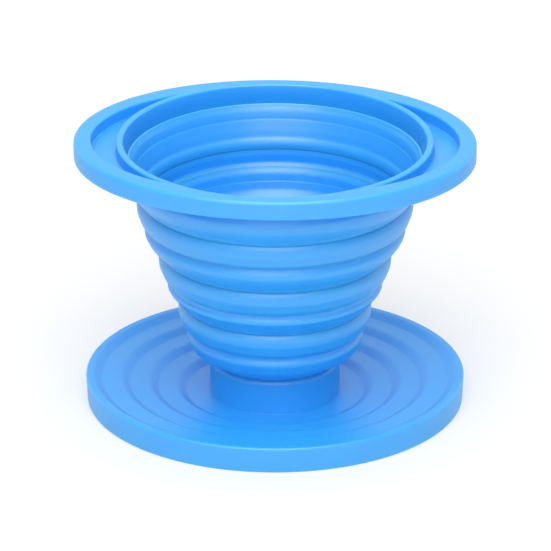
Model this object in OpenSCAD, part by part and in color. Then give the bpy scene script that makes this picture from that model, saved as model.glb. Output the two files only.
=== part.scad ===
// Collapsible pour-over coffee dripper, moulded in one soft silicone.
// Millimetres. +Z is up, z = 0 is the table, the cone's axis is the Z axis, and the oval rim is long in X.
// Three stiff rings stand between the neck and the mouth. A thin fold joins each one to the next,
// and each fold turns inside out when the wider ring above it is pushed down.

/* [Saucer] */
// Diameter of the saucer at its lip
saucer_d = 120; // [118:1:126]
// Height of the saucer's lip
lip_h = 8.3; // [7.9:0.1:8.5]
// Thickness of the stepped plate
plate_t = 2; // [1.6:0.1:2]
// Radius of the first step
first_riser_r = 29.6; // [29:0.1:30.2]
// Distance from one step to the next
tread_w = 8.9; // [8.6:0.1:8.9]
// How far the slope of one step runs, on the radius
riser_run = 2.6; // [1.6:0.1:3]

/* [Neck] */
// Diameter of the neck
neck_d = 41.2; // [38:0.1:42]
// Height of the neck's top edge
neck_top = 13.6; // [12.6:0.1:13.8]
// Wall of the neck
neck_wall = 2.3; // [1.8:0.1:3]
// Diameter of the drain hole
drain_d = 8; // [5:0.5:12]

/* [Rings] */
// Diameter of the small ring at its shoulder
small_ring_d = 61; // [60:0.1:61.4]
// Diameter of the middle ring at its shoulder
middle_ring_d = 73.4; // [73:0.1:74]
// Diameter of the large ring at its shoulder
large_ring_d = 87; // [86.6:0.1:87.4]
// Height of the small ring's lower edge
small_ring_z = 25.2; // [24.8:0.1:25.6]
// Height of the middle ring's lower edge
middle_ring_z = 42.2; // [41.9:0.1:42.5]
// Height of the large ring's lower edge
large_ring_z = 60.7; // [60.4:0.1:61]
// Height of one ring's band
ring_h = 8.3; // [7.8:0.1:8.4]
// Wall of a ring
ring_wall = 2.1; // [1.8:0.1:2.2]
// How much narrower a ring is at its lower edge, on the radius
ring_taper = 1.1; // [0.6:0.1:1.2]

/* [Folds] */
// Wall of a fold
fold_wall = 1.2; // [0.8:0.1:1.3]
// Free gap that keeps a fold's solid clear of the ring it bends against
fold_gap = 0.3; // [0.2:0.05:0.4]

/* [Rim] */
// Length of the oval rim
rim_l = 126.2; // [124:0.2:130]
// Width of the oval rim
rim_w = 104.6; // [104:0.2:108]
// Height of the top of the rim
rim_top = 87.3; // [86.8:0.1:87.8]
// Thickness of the rim's edge
rim_t = 6.3; // [5.5:0.1:6.6]
// Width of the land on the rim's edge, at the two ends of the oval
end_land = 5.4; // [4.6:0.1:6]
// Width of the same land at the oval's waist, where the mouth runs into it
waist_land = 7.1; // [6:0.1:7.4]
// Inner diameter of the mouth
mouth_d = 95; // [94.6:0.1:95.4]
// Wall of the mouth
mouth_wall = 2.2; // [1.9:0.1:2.4]
// Depth of the two hollows beside the mouth
pocket_depth = 4; // [2:0.1:4.2]

/* [Hidden] */
$fn = 128;

silicone = [0.30, 0.66, 0.98];
folds_shade = [0.36, 0.72, 1.00];
round_r = 0.9;          // soft edge of every thick wall
arc_steps = 5;          // straight pieces in one rounded corner
oval_points = 120;
steps = 4;
under_shift = 0.55;     // the underside's steps lie this much further out, so the wall stays even
skirt_t = 2.4;
skirt_lean = 0.4;       // the skirt is this much narrower at the table, on the radius
plate_lift = 0.1;       // the plate's middle hangs this far above the table
step_h = (lip_h - plate_lift - plate_t) / steps;
saucer_r = saucer_d / 2;
join_in = 0.6;          // the skirt meets the plate this far inside the last step's slope
skirt_join_r = riser_r(steps - 1) - riser_run / 2 - join_in;
neck_r = neck_d / 2;
neck_bore_r = neck_r - neck_wall;
mouth_r = mouth_d / 2;
mouth_h = 7.6;          // height of the mouth's wall
mouth_bottom = rim_top - mouth_h;
mouth_taper = 1.5;      // how much narrower the mouth is at its lower edge, on the radius
rim_bottom = rim_top - rim_t;
crease = 0.45;          // a fold starts this far inside the ring above it
notch = 0.35;           // and ends this far inside the shoulder of the ring below it
fold_slant = 1.2;       // a fold's wall along the radius, as a share of the wall square to it
knee = [0.36, 0.5];     // share of a fold's run and of its drop that its upper, steeper part takes

// Radius of the middle of riser k, and the height of the tread inside it.
function riser_r(k) = first_riser_r + k * tread_w;
function tread_z(k) = plate_lift + plate_t + k * step_h;

// Points of an arc of radius r about the point c, from angle a to angle b.
function arc(c, r, a, b) =
    [for (i = [0 : arc_steps]) let (t = a + (b - a) * i / arc_steps) c + r * [cos(t), sin(t)]];

// Points of an ellipse with half-axes a and b.
function oval(a, b) =
    [for (i = [0 : oval_points - 1]) let (t = 360 * i / oval_points) [a * cos(t), b * sin(t)]];

// The edge of the hollow inside the oval rim.
function inner_oval() = oval(rim_l / 2 - end_land, rim_w / 2 - waist_land);

// A ring's band: a rounded shoulder of radius r on top, narrower by ring_taper at its lower edge z.
module band(r, z) {
    top = z + ring_h;
    foot = r - ring_taper;
    rotate_extrude()
        polygon(concat(
            arc([r - round_r, top - round_r], round_r, 0, 90),
            arc([r - ring_wall + round_r, top - round_r], round_r, 90, 180),
            [[foot - ring_wall, z], [foot - crease, z]],
            arc([foot - crease, z + crease], crease, -90, 0)));
}

// A fold: a thin skirt of rubber from the point `high` down to the point `low`, with a knee between.
// Its wall is measured across the radius, which is nearly square to it.
module fold(high, low) {
    bend = [high[0] - (high[0] - low[0]) * knee[0], high[1] - (high[1] - low[1]) * knee[1]];
    across = [fold_wall * fold_slant, 0];
    rotate_extrude()
        polygon([high, bend, low, low - across, bend - across, high - across]);
}

// The fold that hangs from a ring whose shoulder has radius r and whose lower edge is at z.
module ring_fold(r, z, low) {
    fold([r - ring_taper - crease, z - fold_gap], low);
}

// A point on top of a ring, just inside its shoulder.
function shoulder(r, z) = [r - notch, z + ring_h];

module saucer_skirt() {
    joint_z = tread_z(steps - 1);
    color(silicone)
        rotate_extrude()
            polygon(concat(
                [[skirt_join_r, joint_z - plate_t], [saucer_r - skirt_t, joint_z - plate_t]],
                [[saucer_r - skirt_t, 0], [saucer_r - skirt_lean, 0]],
                arc([saucer_r - round_r, lip_h - round_r], round_r, 0, 90),
                [[riser_r(steps - 1) + riser_run / 2, lip_h]],
                [[riser_r(steps - 1) - riser_run / 2, joint_z], [skirt_join_r, joint_z]]));
}

// The stepped dish. It rises outwards, so the rings land on its treads when the cone is pushed flat,
// and its underside steps up outwards too, which centres it on a mug.
module saucer_plate() {
    upper = [for (k = [0 : steps - 2]) for (p = [[-riser_run / 2, 0], [riser_run / 2, step_h]])
        [riser_r(k), tread_z(k)] + p];
    lower = [for (k = [steps - 2 : -1 : 0]) for (p = [[riser_run / 2, step_h], [-riser_run / 2, 0]])
        [riser_r(k) + under_shift, tread_z(k) - plate_t] + p];
    color(silicone)
        rotate_extrude()
            polygon(concat(
                [[neck_r, tread_z(0)]],
                upper,
                [[skirt_join_r, tread_z(steps - 1)], [skirt_join_r, tread_z(steps - 1) - plate_t]],
                lower,
                [[neck_r, plate_lift]]));
}

module neck_collar() {
    color(silicone)
        rotate_extrude()
            polygon(concat(
                [[neck_bore_r, plate_lift], [neck_r, plate_lift]],
                arc([neck_r - round_r, neck_top - round_r], round_r, 0, 90),
                arc([neck_bore_r + round_r, neck_top - round_r], round_r, 90, 180)));
}

module drain_floor() {
    color(silicone)
        translate([0, 0, plate_lift])
            difference() {
                cylinder(r = neck_bore_r, h = plate_t);
                translate([0, 0, -1])
                    cylinder(d = drain_d, h = plate_t + 2);
            }
}

// Each fold rides with the ring below it, which its lower edge stands on.
module neck_fold() {
    color(folds_shade)
        ring_fold(small_ring_d / 2, small_ring_z, [neck_r - notch, neck_top]);
}

module lower_fold() {
    color(folds_shade)
        ring_fold(middle_ring_d / 2, middle_ring_z, shoulder(small_ring_d / 2, small_ring_z));
}

module middle_fold() {
    color(folds_shade)
        ring_fold(large_ring_d / 2, large_ring_z, shoulder(middle_ring_d / 2, middle_ring_z));
}

module upper_fold() {
    color(folds_shade)
        fold([mouth_r - mouth_taper + mouth_wall - crease, mouth_bottom - fold_gap],
             shoulder(large_ring_d / 2, large_ring_z));
}

module small_ring() {
    color(silicone)
        band(small_ring_d / 2, small_ring_z);
}

module middle_ring() {
    color(silicone)
        band(middle_ring_d / 2, middle_ring_z);
}

module large_ring() {
    color(silicone)
        band(large_ring_d / 2, large_ring_z);
}

// The upright wall round the mouth. Its outside is straight where the flat rim joins it.
module mouth_ring() {
    r = mouth_r + mouth_wall;
    foot = r - mouth_taper;
    color(silicone)
        rotate_extrude()
            polygon(concat(
                [[foot - mouth_wall, mouth_bottom], [foot - crease, mouth_bottom]],
                arc([foot - crease, mouth_bottom + crease], crease, -90, 0),
                [[r, rim_bottom], [r, rim_top], [mouth_r, rim_top]]));
}

// The oval edge of the rim, open where the round mouth takes its place.
module rim_band() {
    color(silicone)
        translate([0, 0, rim_bottom])
            difference() {
                linear_extrude(rim_t)
                    polygon(oval(rim_l / 2, rim_w / 2));
                translate([0, 0, -1])
                    linear_extrude(rim_t + 2)
                        polygon(inner_oval());
                translate([0, 0, -1])
                    cylinder(r = mouth_r + mouth_wall, h = rim_t + 2);
            }
}

// The thin floor of the crescent hollow between the oval edge and the mouth, on the side `side`.
module pocket_floor(side) {
    color(silicone)
        translate([0, 0, rim_bottom])
            difference() {
                intersection() {
                    linear_extrude(rim_t - pocket_depth)
                        polygon(inner_oval());
                    translate([side * rim_l / 2, 0, 0])
                        cube([rim_l, rim_w, rim_t * 2], center = true);
                }
                translate([0, 0, -1])
                    cylinder(r = mouth_r + mouth_wall, h = rim_t + 2);
            }
}

module left_pocket_floor() {
    pocket_floor(-1);
}

module right_pocket_floor() {
    pocket_floor(1);
}

saucer_skirt();
saucer_plate();
neck_collar();
drain_floor();
neck_fold();
small_ring();
lower_fold();
middle_ring();
middle_fold();
large_ring();
upper_fold();
mouth_ring();
rim_band();
left_pocket_floor();
right_pocket_floor();
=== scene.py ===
"""Collapsible silicone coffee dripper: the looks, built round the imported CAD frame.

Lengths in the outlines are millimetres, as (radius, height) pairs about the Z axis. They become metres
in the meshes.
"""

import math

import bmesh
import bpy
import numpy as np
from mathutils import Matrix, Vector


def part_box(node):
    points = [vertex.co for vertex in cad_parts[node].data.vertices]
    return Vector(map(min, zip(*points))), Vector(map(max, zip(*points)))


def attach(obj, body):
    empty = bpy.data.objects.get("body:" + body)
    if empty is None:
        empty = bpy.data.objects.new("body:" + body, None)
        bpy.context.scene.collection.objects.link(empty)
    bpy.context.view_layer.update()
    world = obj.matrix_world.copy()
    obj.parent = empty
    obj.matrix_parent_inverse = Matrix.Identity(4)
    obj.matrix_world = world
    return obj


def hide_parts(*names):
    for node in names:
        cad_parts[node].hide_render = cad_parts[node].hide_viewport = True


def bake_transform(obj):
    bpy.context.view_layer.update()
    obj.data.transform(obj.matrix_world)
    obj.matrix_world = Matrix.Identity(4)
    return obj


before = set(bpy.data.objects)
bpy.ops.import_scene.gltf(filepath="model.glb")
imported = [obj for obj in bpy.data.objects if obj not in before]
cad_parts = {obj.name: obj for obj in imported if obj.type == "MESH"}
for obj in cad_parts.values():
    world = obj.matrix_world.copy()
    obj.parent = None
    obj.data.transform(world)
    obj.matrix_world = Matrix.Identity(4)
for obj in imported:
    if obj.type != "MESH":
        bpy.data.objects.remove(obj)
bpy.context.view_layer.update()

MM = 0.001

# The view: a long lens, a little above the rim. Degrees and metres, and millimetres for the lens.
AZIMUTH = 3.4
ELEVATION = 23.02
DISTANCE = 1.8206
LENS = 376.7
AIM = (0.00016, 0, 0.04096)

# How finely the pieces are cut round the axis, how finely a rounded corner and a fold's line are, and
# how near two points lie that are welded, in metres.
ROUND = 288
RIM_ROUND = 720
ARC = 7
LINE_STEP = 0.4
WELD = 2e-6

# A rounding: how far its support points stand off, the half-angle in degrees above which a corner counts
# as straight, the share of each side that it may take, and how much longer than the rounding and its
# support point a side has to be to get one.
SUPPORT = 0.25
STRAIGHT = 89.5
SIDE_SHARE = 0.48
ROOM = 2.2

# Sizes that the CAD solids share. The rest is read from the frame's boxes.
NECK_WALL = 2.3
DRAIN_R = 4.0
PLATE_T = 2.0
PLATE_LIFT = 0.1
SKIRT_T = 2.4
SKIRT_LEAN = 0.4
FIRST_RISER = 29.6
TREAD_W = 8.9
STEPS = 4
RISER_RUN = 2.6
UNDER_SHIFT = 0.55
RING_TAPER = 1.1
MOUTH_WALL = 2.2
MOUTH_TAPER = 1.5
END_LAND = 5.4
WAIST_LAND = 7.1
POCKET_DEPTH = 4.0

# Roundings of the looks: the collar's outer edge, a ring's shoulder (width, height), and the rim's outer
# upper edge, its lower edge, the edges of the hollows, their floors' corners and the mouth's inner edge.
NECK_ROUND = 1.8
SHOULDER = (2.1, 2.8)
RIM_EDGE = 1.3
RIM_UNDER = 0.9
HOLLOW_EDGE = 0.7
HOLLOW_FLOOR = 0.6
MOUTH_EDGE = 0.75

# How steeply a hollow gets deeper as it widens.
HOLLOW_FADE = 4

# The mouth's wall: its bevel (width, height) under the rim and outside its foot, the bevel inside its foot,
# and how far it leans over the height of a bevel.
WEB = (0.6, 0.3)
FOOT_OUTER = (0.4, 0.5)
FOOT_INNER = 0.3
WALL_LEAN = 0.1

# The rest of a ring under its shoulder, down the outside and up the inside: how far in from the ring's
# radius, then the height over its foot or its top, then the rounding. None stands for the ring's waist.
RING_OUTSIDE = [(0, -SHOULDER[1] - 0.3, 0), (0.15, -4.6, 4)]
RING_FOOT = [(None, 0.1, 1.4), (3.4, 0.1, 0.5), (3.9, 1.15, 0.8), (2.8, 2.6, 1.5)]
RING_INSIDE = [(2.8, -3.2, 3), (2.45, -1.0, 0.2), (2.3, -0.5, 0)]

# A fold's lower end. Each row is an outer point and the inner point across the wall from it, both counted
# from the radius and the top of the piece below.
FOLD_FOOT = [
    (0.0, 1.0, -1.15, 2.7),
    (-0.45, 0.2, -1.8, 1.8),
    (-1.0, -0.6, -2.3, 0.6),
    (-1.6, -1.8, -2.55, -1.4),
]

# The silicone, and its two slots' roughness.
SKY_BLUE = (0.024, 0.37, 0.82)
WALL_ROUGH = 0.43
FOLD_ROUGH = 0.42
ROUGH_SPREAD = 0.04
TINT_SPREAD = 0.025

# What the lamps look at, and half the width of the floor, in metres.
MIDDLE = (0, 0, 0.04)
FLOOR_HALF = 4.0


def size(node):
    """A CAD node's outer radius along X, its half-width along Y, its foot and its top, in millimetres."""
    low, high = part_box(node)
    return high.x / MM, high.y / MM, low.z / MM, high.z / MM


# ---------------------------------------------------------------- outlines


def corner_arc(before, corner, after, radius):
    """The points that round one corner off, with a support point each side that keeps flats flat."""
    a, p, b = (np.array(q[:2], float) for q in (before, corner, after))
    u, v = a - p, b - p
    reach_u, reach_v = np.linalg.norm(u), np.linalg.norm(v)
    u, v = u / reach_u, v / reach_v
    half = math.acos(max(-1.0, min(1.0, float(u @ v)))) / 2
    if radius <= 0 or half > math.radians(STRAIGHT):
        return [p]
    tangent = min(radius / math.tan(half), SIDE_SHARE * reach_u, SIDE_SHARE * reach_v)
    radius = tangent * math.tan(half)
    centre = p + (u + v) / np.linalg.norm(u + v) * (radius / math.sin(half))
    start, end = p + u * tangent - centre, p + v * tangent - centre
    turn = math.atan2(start[0] * end[1] - start[1] * end[0], float(start @ end))
    points = []
    for i in range(ARC + 1):
        t = turn * i / ARC
        c, s = math.cos(t), math.sin(t)
        points.append(centre + np.array([start[0] * c - start[1] * s, start[0] * s + start[1] * c]))
    if reach_u > ROOM * (tangent + SUPPORT):
        points.insert(0, p + u * (tangent + SUPPORT))
    if reach_v > ROOM * (tangent + SUPPORT):
        points.append(p + v * (tangent + SUPPORT))
    return points


def rounded_loop(corners):
    """A closed outline through (radius, height, rounding) corners."""
    points = []
    for i, c in enumerate(corners):
        points += corner_arc(corners[i - 1], c, corners[(i + 1) % len(corners)], c[2])
    return points


def smooth_line(corners):
    """An open line through (radius, height, rounding) corners, with its ends left as they are."""
    points = [np.array(corners[0][:2], float)]
    for before, c, after in zip(corners, corners[1:], corners[2:]):
        points += corner_arc(before, c, after, c[2])
    return points + [np.array(corners[-1][:2], float)]


def quarter(cx, cz, radius, start, end):
    """Points of an arc, from angle start to angle end in degrees."""
    points = []
    for i in range(ARC + 1):
        t = math.radians(start + (end - start) * i / ARC)
        points.append([cx + radius * math.cos(t), cz + radius * math.sin(t)])
    return points


def through(points, step):
    """A smooth Catmull-Rom line through (radius, height, wall) points, no coarser than step."""
    points = np.array(points, float)
    ends = np.vstack([2 * points[0] - points[1], points, 2 * points[-1] - points[-2]])
    line = [points[0]]
    for p, a, b, q in zip(ends, ends[1:], ends[2:], ends[3:]):
        n = max(2, math.ceil(np.linalg.norm((b - a)[:2]) / step))
        for i in range(1, n + 1):
            t = i / n
            square = (2 * p - 5 * a + 4 * b - q) * t**2
            cube = (3 * a - p - 3 * b + q) * t**3
            line.append(0.5 * (2 * a + (b - p) * t + square + cube))
    return line


# ------------------------------------------------------------------ meshes


def swept(name, sections, closed):
    """A mesh through sections that go once round the Z axis, each a row of (x, y, z) millimetre points."""
    rows = np.array(sections, float) * MM
    n, m = rows.shape[:2]
    faces = []
    for i in range(n):
        j = (i + 1) % n
        for k in range(m if closed else m - 1):
            q = (k + 1) % m
            faces.append((i * m + k, j * m + k, j * m + q, i * m + q))
    mesh = bpy.data.meshes.new(name)
    mesh.from_pydata(rows.reshape(-1, 3).tolist(), [], faces)
    tidy = bmesh.new()
    tidy.from_mesh(mesh)
    bmesh.ops.remove_doubles(tidy, verts=tidy.verts, dist=WELD)
    bmesh.ops.recalc_face_normals(tidy, faces=tidy.faces)
    tidy.to_mesh(mesh)
    tidy.free()
    mesh.polygons.foreach_set("use_smooth", [True] * len(mesh.polygons))
    piece = bpy.data.objects.new(name, mesh)
    bpy.context.scene.collection.objects.link(piece)
    return piece


def turned(name, outline, closed=True):
    """A solid of revolution from an outline, or an open skin from a line."""
    sections = []
    for i in range(ROUND):
        t = 2 * math.pi * i / ROUND
        sections.append([(r * math.cos(t), r * math.sin(t), z) for r, z in outline])
    return swept(name, sections, closed)


# --------------------------------------------------------------- materials


def silicone(name, colour, roughness):
    """Satin moulded silicone: a very fine matt grain, a faint cloudiness, and a soft sheen."""
    material = bpy.data.materials.new(name)
    material.use_nodes = True
    nodes, links = material.node_tree.nodes, material.node_tree.links
    shader = nodes["Principled BSDF"]
    shader.inputs["IOR"].default_value = 1.5
    shader.inputs["Specular IOR Level"].default_value = 0.95
    shader.inputs["Subsurface Weight"].default_value = 0.7
    shader.inputs["Subsurface Radius"].default_value = (0.3, 0.7, 1.0)
    shader.inputs["Subsurface Scale"].default_value = 0.004

    place = nodes.new("ShaderNodeTexCoord")
    cloud = nodes.new("ShaderNodeTexNoise")
    cloud.inputs["Scale"].default_value = 55
    cloud.inputs["Detail"].default_value = 3
    grain = nodes.new("ShaderNodeTexNoise")
    grain.inputs["Scale"].default_value = 2600
    grain.inputs["Detail"].default_value = 2
    links.new(place.outputs["Object"], cloud.inputs["Vector"])
    links.new(place.outputs["Object"], grain.inputs["Vector"])

    tint = nodes.new("ShaderNodeMapRange")
    tint.inputs["To Min"].default_value = 1 - TINT_SPREAD
    tint.inputs["To Max"].default_value = 1 + TINT_SPREAD
    links.new(cloud.outputs["Fac"], tint.inputs["Value"])
    shade = nodes.new("ShaderNodeHueSaturation")
    shade.inputs["Color"].default_value = (*colour, 1)
    links.new(tint.outputs["Result"], shade.inputs["Value"])
    links.new(shade.outputs["Color"], shader.inputs["Base Color"])

    gloss = nodes.new("ShaderNodeMapRange")
    gloss.inputs["To Min"].default_value = roughness - ROUGH_SPREAD
    gloss.inputs["To Max"].default_value = roughness + ROUGH_SPREAD
    links.new(cloud.outputs["Fac"], gloss.inputs["Value"])
    links.new(gloss.outputs["Result"], shader.inputs["Roughness"])

    bump = nodes.new("ShaderNodeBump")
    bump.inputs["Strength"].default_value = 0.12
    bump.inputs["Distance"].default_value = 0.00003
    links.new(grain.outputs["Fac"], bump.inputs["Height"])
    links.new(bump.outputs["Normal"], shader.inputs["Normal"])
    return material


WALLS = silicone("silicone_walls", SKY_BLUE, WALL_ROUGH)
FOLDS = silicone("silicone_folds", SKY_BLUE, FOLD_ROUGH)


def finish_piece(piece, material, slot, *nodes):
    """Gives a piece its material and hides its CAD nodes, so that it stands for them. The slot argument is
    not used.
    """
    piece.data.materials.append(material)
    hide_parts(*nodes)
    return piece


# ------------------------------------------------------------------ saucer


def tread(k):
    """Height of tread k."""
    lip = size("saucer_skirt")[3]
    return PLATE_LIFT + PLATE_T + k * (lip - PLATE_LIFT - PLATE_T) / STEPS


def saucer():
    """The neck, the stepped dish and the lip, in one moulding."""
    radius, _, _, lip = size("saucer_skirt")
    neck_r, _, _, neck_top = size("neck_collar")
    bore = neck_r - NECK_WALL
    risers = [FIRST_RISER + k * TREAD_W for k in range(STEPS)]
    half = RISER_RUN / 2
    corners = [
        (DRAIN_R, PLATE_LIFT, 0.3),
        (DRAIN_R, tread(0), 0.5),
        (bore, tread(0), 1.5),
        (bore, neck_top, 0.3),
    ]
    shoulder = neck_top - NECK_ROUND
    corners += [(r, z, 0) for r, z in quarter(neck_r - NECK_ROUND, shoulder, NECK_ROUND, 90, 0)]
    corners += [(neck_r, shoulder - SUPPORT, 0), (neck_r, tread(0), 0.15)]
    for k, r in enumerate(risers[:-1]):
        corners += [(r - half, tread(k), 1.2), (r + half, tread(k + 1), 3.5)]
    corners += [
        (risers[-1] - half, tread(STEPS - 1), 1.2),
        (risers[-1] + half, lip, 2.0),
        (radius, lip, 0.7),
        (radius - SKIRT_LEAN, 0, 0.5),
        (radius - SKIRT_T, 0, 0.4),
        (radius - SKIRT_T, tread(STEPS - 1) - PLATE_T, 0.8),
    ]
    for k in reversed(range(STEPS - 1)):
        r = risers[k] + UNDER_SHIFT
        corners += [(r + half, tread(k + 1) - PLATE_T, 1.5), (r - half, tread(k) - PLATE_T, 1.5)]
    piece = turned("saucer", rounded_loop(corners))
    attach(piece, "saucer")
    return finish_piece(
        piece, WALLS, "silicone_walls", "saucer_skirt", "saucer_plate", "neck_collar", "drain_floor"
    )


# ------------------------------------------------------- rings and folds


def ring(name, waist):
    """One stiff band: a wide round shoulder, a wall that draws in by waist, and a soft foot."""
    radius, _, foot, top = size(name)
    wide, high = SHOULDER
    outline = [[radius - wide * (1 - c), top - high * (1 - s)] for c, s in quarter(0, 0, 1, 90, 0)]
    line = []
    for rows, level in ((RING_OUTSIDE, top), (RING_FOOT, foot), (RING_INSIDE, top)):
        line += [(radius - (waist if inset is None else inset), level + z, r) for inset, z, r in rows]
    piece = turned(name + "_band", outline + smooth_line(line))
    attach(piece, name)
    return finish_piece(piece, WALLS, "silicone_walls", name)


def fold(name, lower, upper, ridge, belly, groove=(-2.2, -3.4)):
    """One fold: a groove under the upper ring, a round ridge, a belly, and a foot that tucks in behind the
    lower ring's shoulder. The ridge is counted from the radius of the upper ring's foot, and so are the
    groove's outside and inside. Each row is an outer point and the inner point across the wall from it.
    The fold is an open skin with a live thickness, set by a Solidify modifier."""
    low_r, _, _, low_top = size(lower)
    high_r = size(upper)[0] - (MOUTH_TAPER if upper == "mouth_ring" else RING_TAPER)
    high_foot = size(upper)[2]
    head = [
        (-1.0, 1.0, -2.4, 2.0),
        (-1.5, -0.1, -2.85, 1.0),
        (groove[0], -1.3, groove[1], 0.0),
        (ridge - 0.55, -2.55, -4.0, -1.4),
        (ridge, -3.7, -4.4, -2.9),
    ]
    rows = [np.array(row) + (high_r, high_foot) * 2 for row in head]
    rows += [np.array(row) + (low_r, low_top) * 2 for row in belly + FOLD_FOOT]
    middles = [(*(row[:2] + row[2:]) / 2, math.dist(row[:2], row[2:])) for row in rows]
    line = through(middles, LINE_STEP)
    piece = turned(name + "_skin", [p[:2] for p in line], closed=False)
    full = max(p[2] for p in line)
    heights = [p[1] for p in reversed(line)]
    walls = [p[2] / full for p in reversed(line)]
    thick = piece.vertex_groups.new(name="wall")
    for vertex in piece.data.vertices:
        thick.add([vertex.index], float(np.interp(vertex.co.z / MM, heights, walls)), "REPLACE")
    wall = piece.modifiers.new("wall", "SOLIDIFY")
    wall.thickness = full * MM
    wall.offset = 0
    wall.vertex_group = "wall"
    finish_piece(piece, FOLDS, "silicone_folds", name)
    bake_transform(piece)
    return piece


# --------------------------------------------------------------------- rim


def oval_radius(a, b, t):
    """Distance from the axis to an ellipse of half-axes a and b, in direction t."""
    return 1 / math.hypot(math.cos(t) / a, math.sin(t) / b)


def rim():
    """The mouth's wall, the flat oval rim round it, and the two hollows between them, in one moulding."""
    a, b, bottom, top = size("rim_band")
    mouth_out, _, mouth_foot, _ = size("mouth_ring")
    mouth_in = mouth_out - MOUTH_WALL
    foot_out = mouth_out - MOUTH_TAPER
    foot_in = foot_out - MOUTH_WALL
    soft = HOLLOW_EDGE
    sections = []
    for i in range(RIM_ROUND):
        t = 2 * math.pi * i / RIM_ROUND
        outer = oval_radius(a, b, t)
        inner = oval_radius(a - END_LAND, b - WAIST_LAND, t)
        gap = inner - mouth_out
        middle = max((inner + mouth_out) / 2, mouth_out - soft)
        depth = min(POCKET_DEPTH, soft + HOLLOW_FADE * max(gap, 0))
        floor = top - depth
        fillet = max(min(HOLLOW_FLOOR, gap / 2, depth - soft), 0)
        near = quarter(mouth_out - soft, top - soft, soft, 90, 0)
        near += quarter(mouth_out + fillet, floor + fillet, fillet, 180, 270)
        far = quarter(inner - fillet, floor + fillet, fillet, 270, 360)
        far += quarter(inner + soft, top - soft, soft, 180, 90)
        if gap < 2 * soft:
            near = clipped(near, mouth_out - soft, top - soft, soft, middle, 1)
            far = clipped(far, inner + soft, top - soft, soft, middle, -1)
        line = quarter(mouth_in + MOUTH_EDGE, top - MOUTH_EDGE, MOUTH_EDGE, 180, 90)
        line += near + far
        line += quarter(outer - RIM_EDGE, top - RIM_EDGE, RIM_EDGE, 90, 0)
        line += quarter(outer - RIM_UNDER, bottom + RIM_UNDER, RIM_UNDER, 0, -90)
        line += [[mouth_out + WEB[0], bottom], [mouth_out - WALL_LEAN, bottom - WEB[1]]]
        line += [[foot_out + WALL_LEAN, mouth_foot + FOOT_OUTER[1]]]
        line += [[foot_out - FOOT_OUTER[0], mouth_foot]]
        line += [[foot_in + FOOT_INNER, mouth_foot], [foot_in, mouth_foot + FOOT_INNER]]
        c, s = math.cos(t), math.sin(t)
        sections.append([(r * c, r * s, z) for r, z in line])
    piece = swept("rim", sections, closed=True)
    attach(piece, "rim")
    return finish_piece(
        piece,
        WALLS,
        "silicone_walls",
        "mouth_ring",
        "rim_band",
        "left_pocket_floor",
        "right_pocket_floor",
    )


def clipped(points, cx, cz, radius, middle, side):
    """Where the two edges of a hollow meet, their roundings stop at the middle, in a groove that fades."""
    reach = (middle - cx) * side
    if reach <= 0:
        low = cz + radius
    elif reach < radius:
        low = cz + math.sqrt(radius**2 - reach**2)
    else:
        return points
    return [[r, z] if (middle - r) * side > 0 else [middle, low] for r, z in points]


saucer()
ring("small_ring", 1.4)
ring("middle_ring", 1.6)
ring("large_ring", 1.4)
fold(
    "neck_fold", "neck_collar", "small_ring",
    -1.6, [(6.6, 6.1, 4.2, 7.2), (5.6, 4.2, 3.4, 5.4), (3.0, 2.4, 1.4, 3.8)],
)
fold(
    "lower_fold", "small_ring", "middle_ring",
    -1.7, [(2.5, 3.9, 0.4, 4.9), (1.5, 2.4, 0.0, 3.9)],
)
fold(
    "middle_fold", "middle_ring", "large_ring",
    -1.4, [(3.7, 5.0, 0.9, 5.9), (2.7, 3.4, 0.5, 4.7), (1.3, 2.0, -0.3, 3.6)], (-2.45, -3.45),
)
fold(
    "upper_fold", "large_ring", "mouth_ring",
    -1.1, [(2.9, 4.8, -0.2, 6.3), (1.9, 3.2, -0.6, 5.0), (1.0, 2.0, -0.85, 3.9)],
)
rim()


# --------------------------------------------------- floor, light, camera


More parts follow.
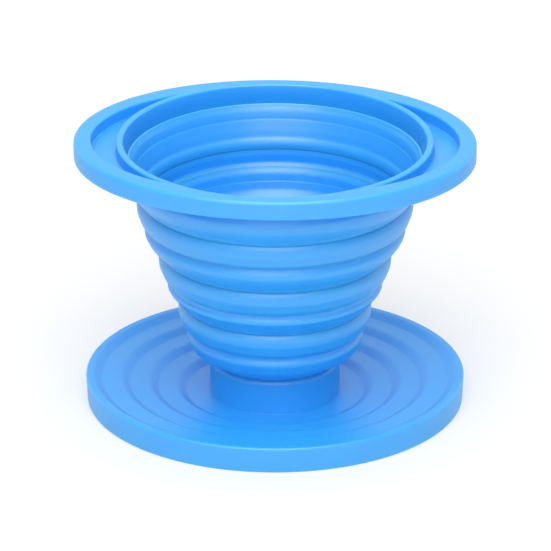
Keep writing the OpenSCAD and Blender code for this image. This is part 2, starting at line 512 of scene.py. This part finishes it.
def floor():
    """A wide, pale, even floor."""
    mesh = bpy.data.meshes.new("floor")
    corners = [(x * FLOOR_HALF, y * FLOOR_HALF, 0) for x, y in ((-1, -1), (1, -1), (1, 1), (-1, 1))]
    mesh.from_pydata(corners, [], [(0, 1, 2, 3)])
    piece = bpy.data.objects.new("floor", mesh)
    bpy.context.scene.collection.objects.link(piece)
    material = bpy.data.materials.new("pale_floor")
    material.use_nodes = True
    shader = material.node_tree.nodes["Principled BSDF"]
    shader.inputs["Base Color"].default_value = (0.5, 0.5, 0.5, 1)
    shader.inputs["Roughness"].default_value = 0.9
    shader.inputs["Specular IOR Level"].default_value = 0.1
    shader.inputs["Emission Color"].default_value = (1, 1, 1, 1)
    shader.inputs["Emission Strength"].default_value = 0.40
    mesh.materials.append(material)


def aimed(thing, at):
    """Turns a lamp or a camera to look at a point."""
    thing.rotation_euler = (Vector(at) - thing.location).to_track_quat("-Z", "Y").to_euler()


def softbox(name, at, wide, tall, watts):
    """A rectangular area light aimed at the object."""
    lamp = bpy.data.lights.new(name, "AREA")
    lamp.shape = "RECTANGLE"
    lamp.size, lamp.size_y, lamp.energy = wide, tall, watts
    thing = bpy.data.objects.new(name, lamp)
    thing.location = at
    aimed(thing, MIDDLE)
    bpy.context.scene.collection.objects.link(thing)


def studio():
    """Six soft lights, in front, high up, on top, behind and at the back on both sides, and a bright
    surround."""
    softbox("front_light", (0, -1.22, 0.80), 1.3, 1.0, 7.5)
    softbox("high_light", (0, -0.62, 1.27), 1.0, 0.9, 12)
    softbox("top_light", (0, 0.35, 1.35), 1.2, 0.8, 4)
    softbox("back_light", (0, 1.4, 0.62), 2.0, 0.8, 2.8)
    softbox("left_light", (-1.1, 0.9, 0.5), 0.8, 0.8, 2)
    softbox("right_light", (1.1, 0.9, 0.5), 0.8, 0.8, 2)
    world = bpy.data.worlds.new("surround")
    world.use_nodes = True
    world.node_tree.nodes["Background"].inputs["Color"].default_value = (1, 1, 1, 1)
    world.node_tree.nodes["Background"].inputs["Strength"].default_value = 0.45
    bpy.context.scene.world = world
    bpy.context.scene.view_settings.view_transform = "Standard"


def camera():
    """A long lens at the height from which the object is usually seen."""
    a, e = math.radians(AZIMUTH), math.radians(ELEVATION)
    lens = bpy.data.cameras.new("camera")
    lens.lens = LENS
    lens.sensor_width = 36
    lens.clip_end = 50
    thing = bpy.data.objects.new("camera", lens)
    away = Vector((math.sin(a) * math.cos(e), -math.cos(a) * math.cos(e), math.sin(e)))
    thing.location = Vector(AIM) + away * DISTANCE
    aimed(thing, AIM)
    bpy.context.scene.collection.objects.link(thing)
    bpy.context.scene.camera = thing


floor()
studio()
camera()
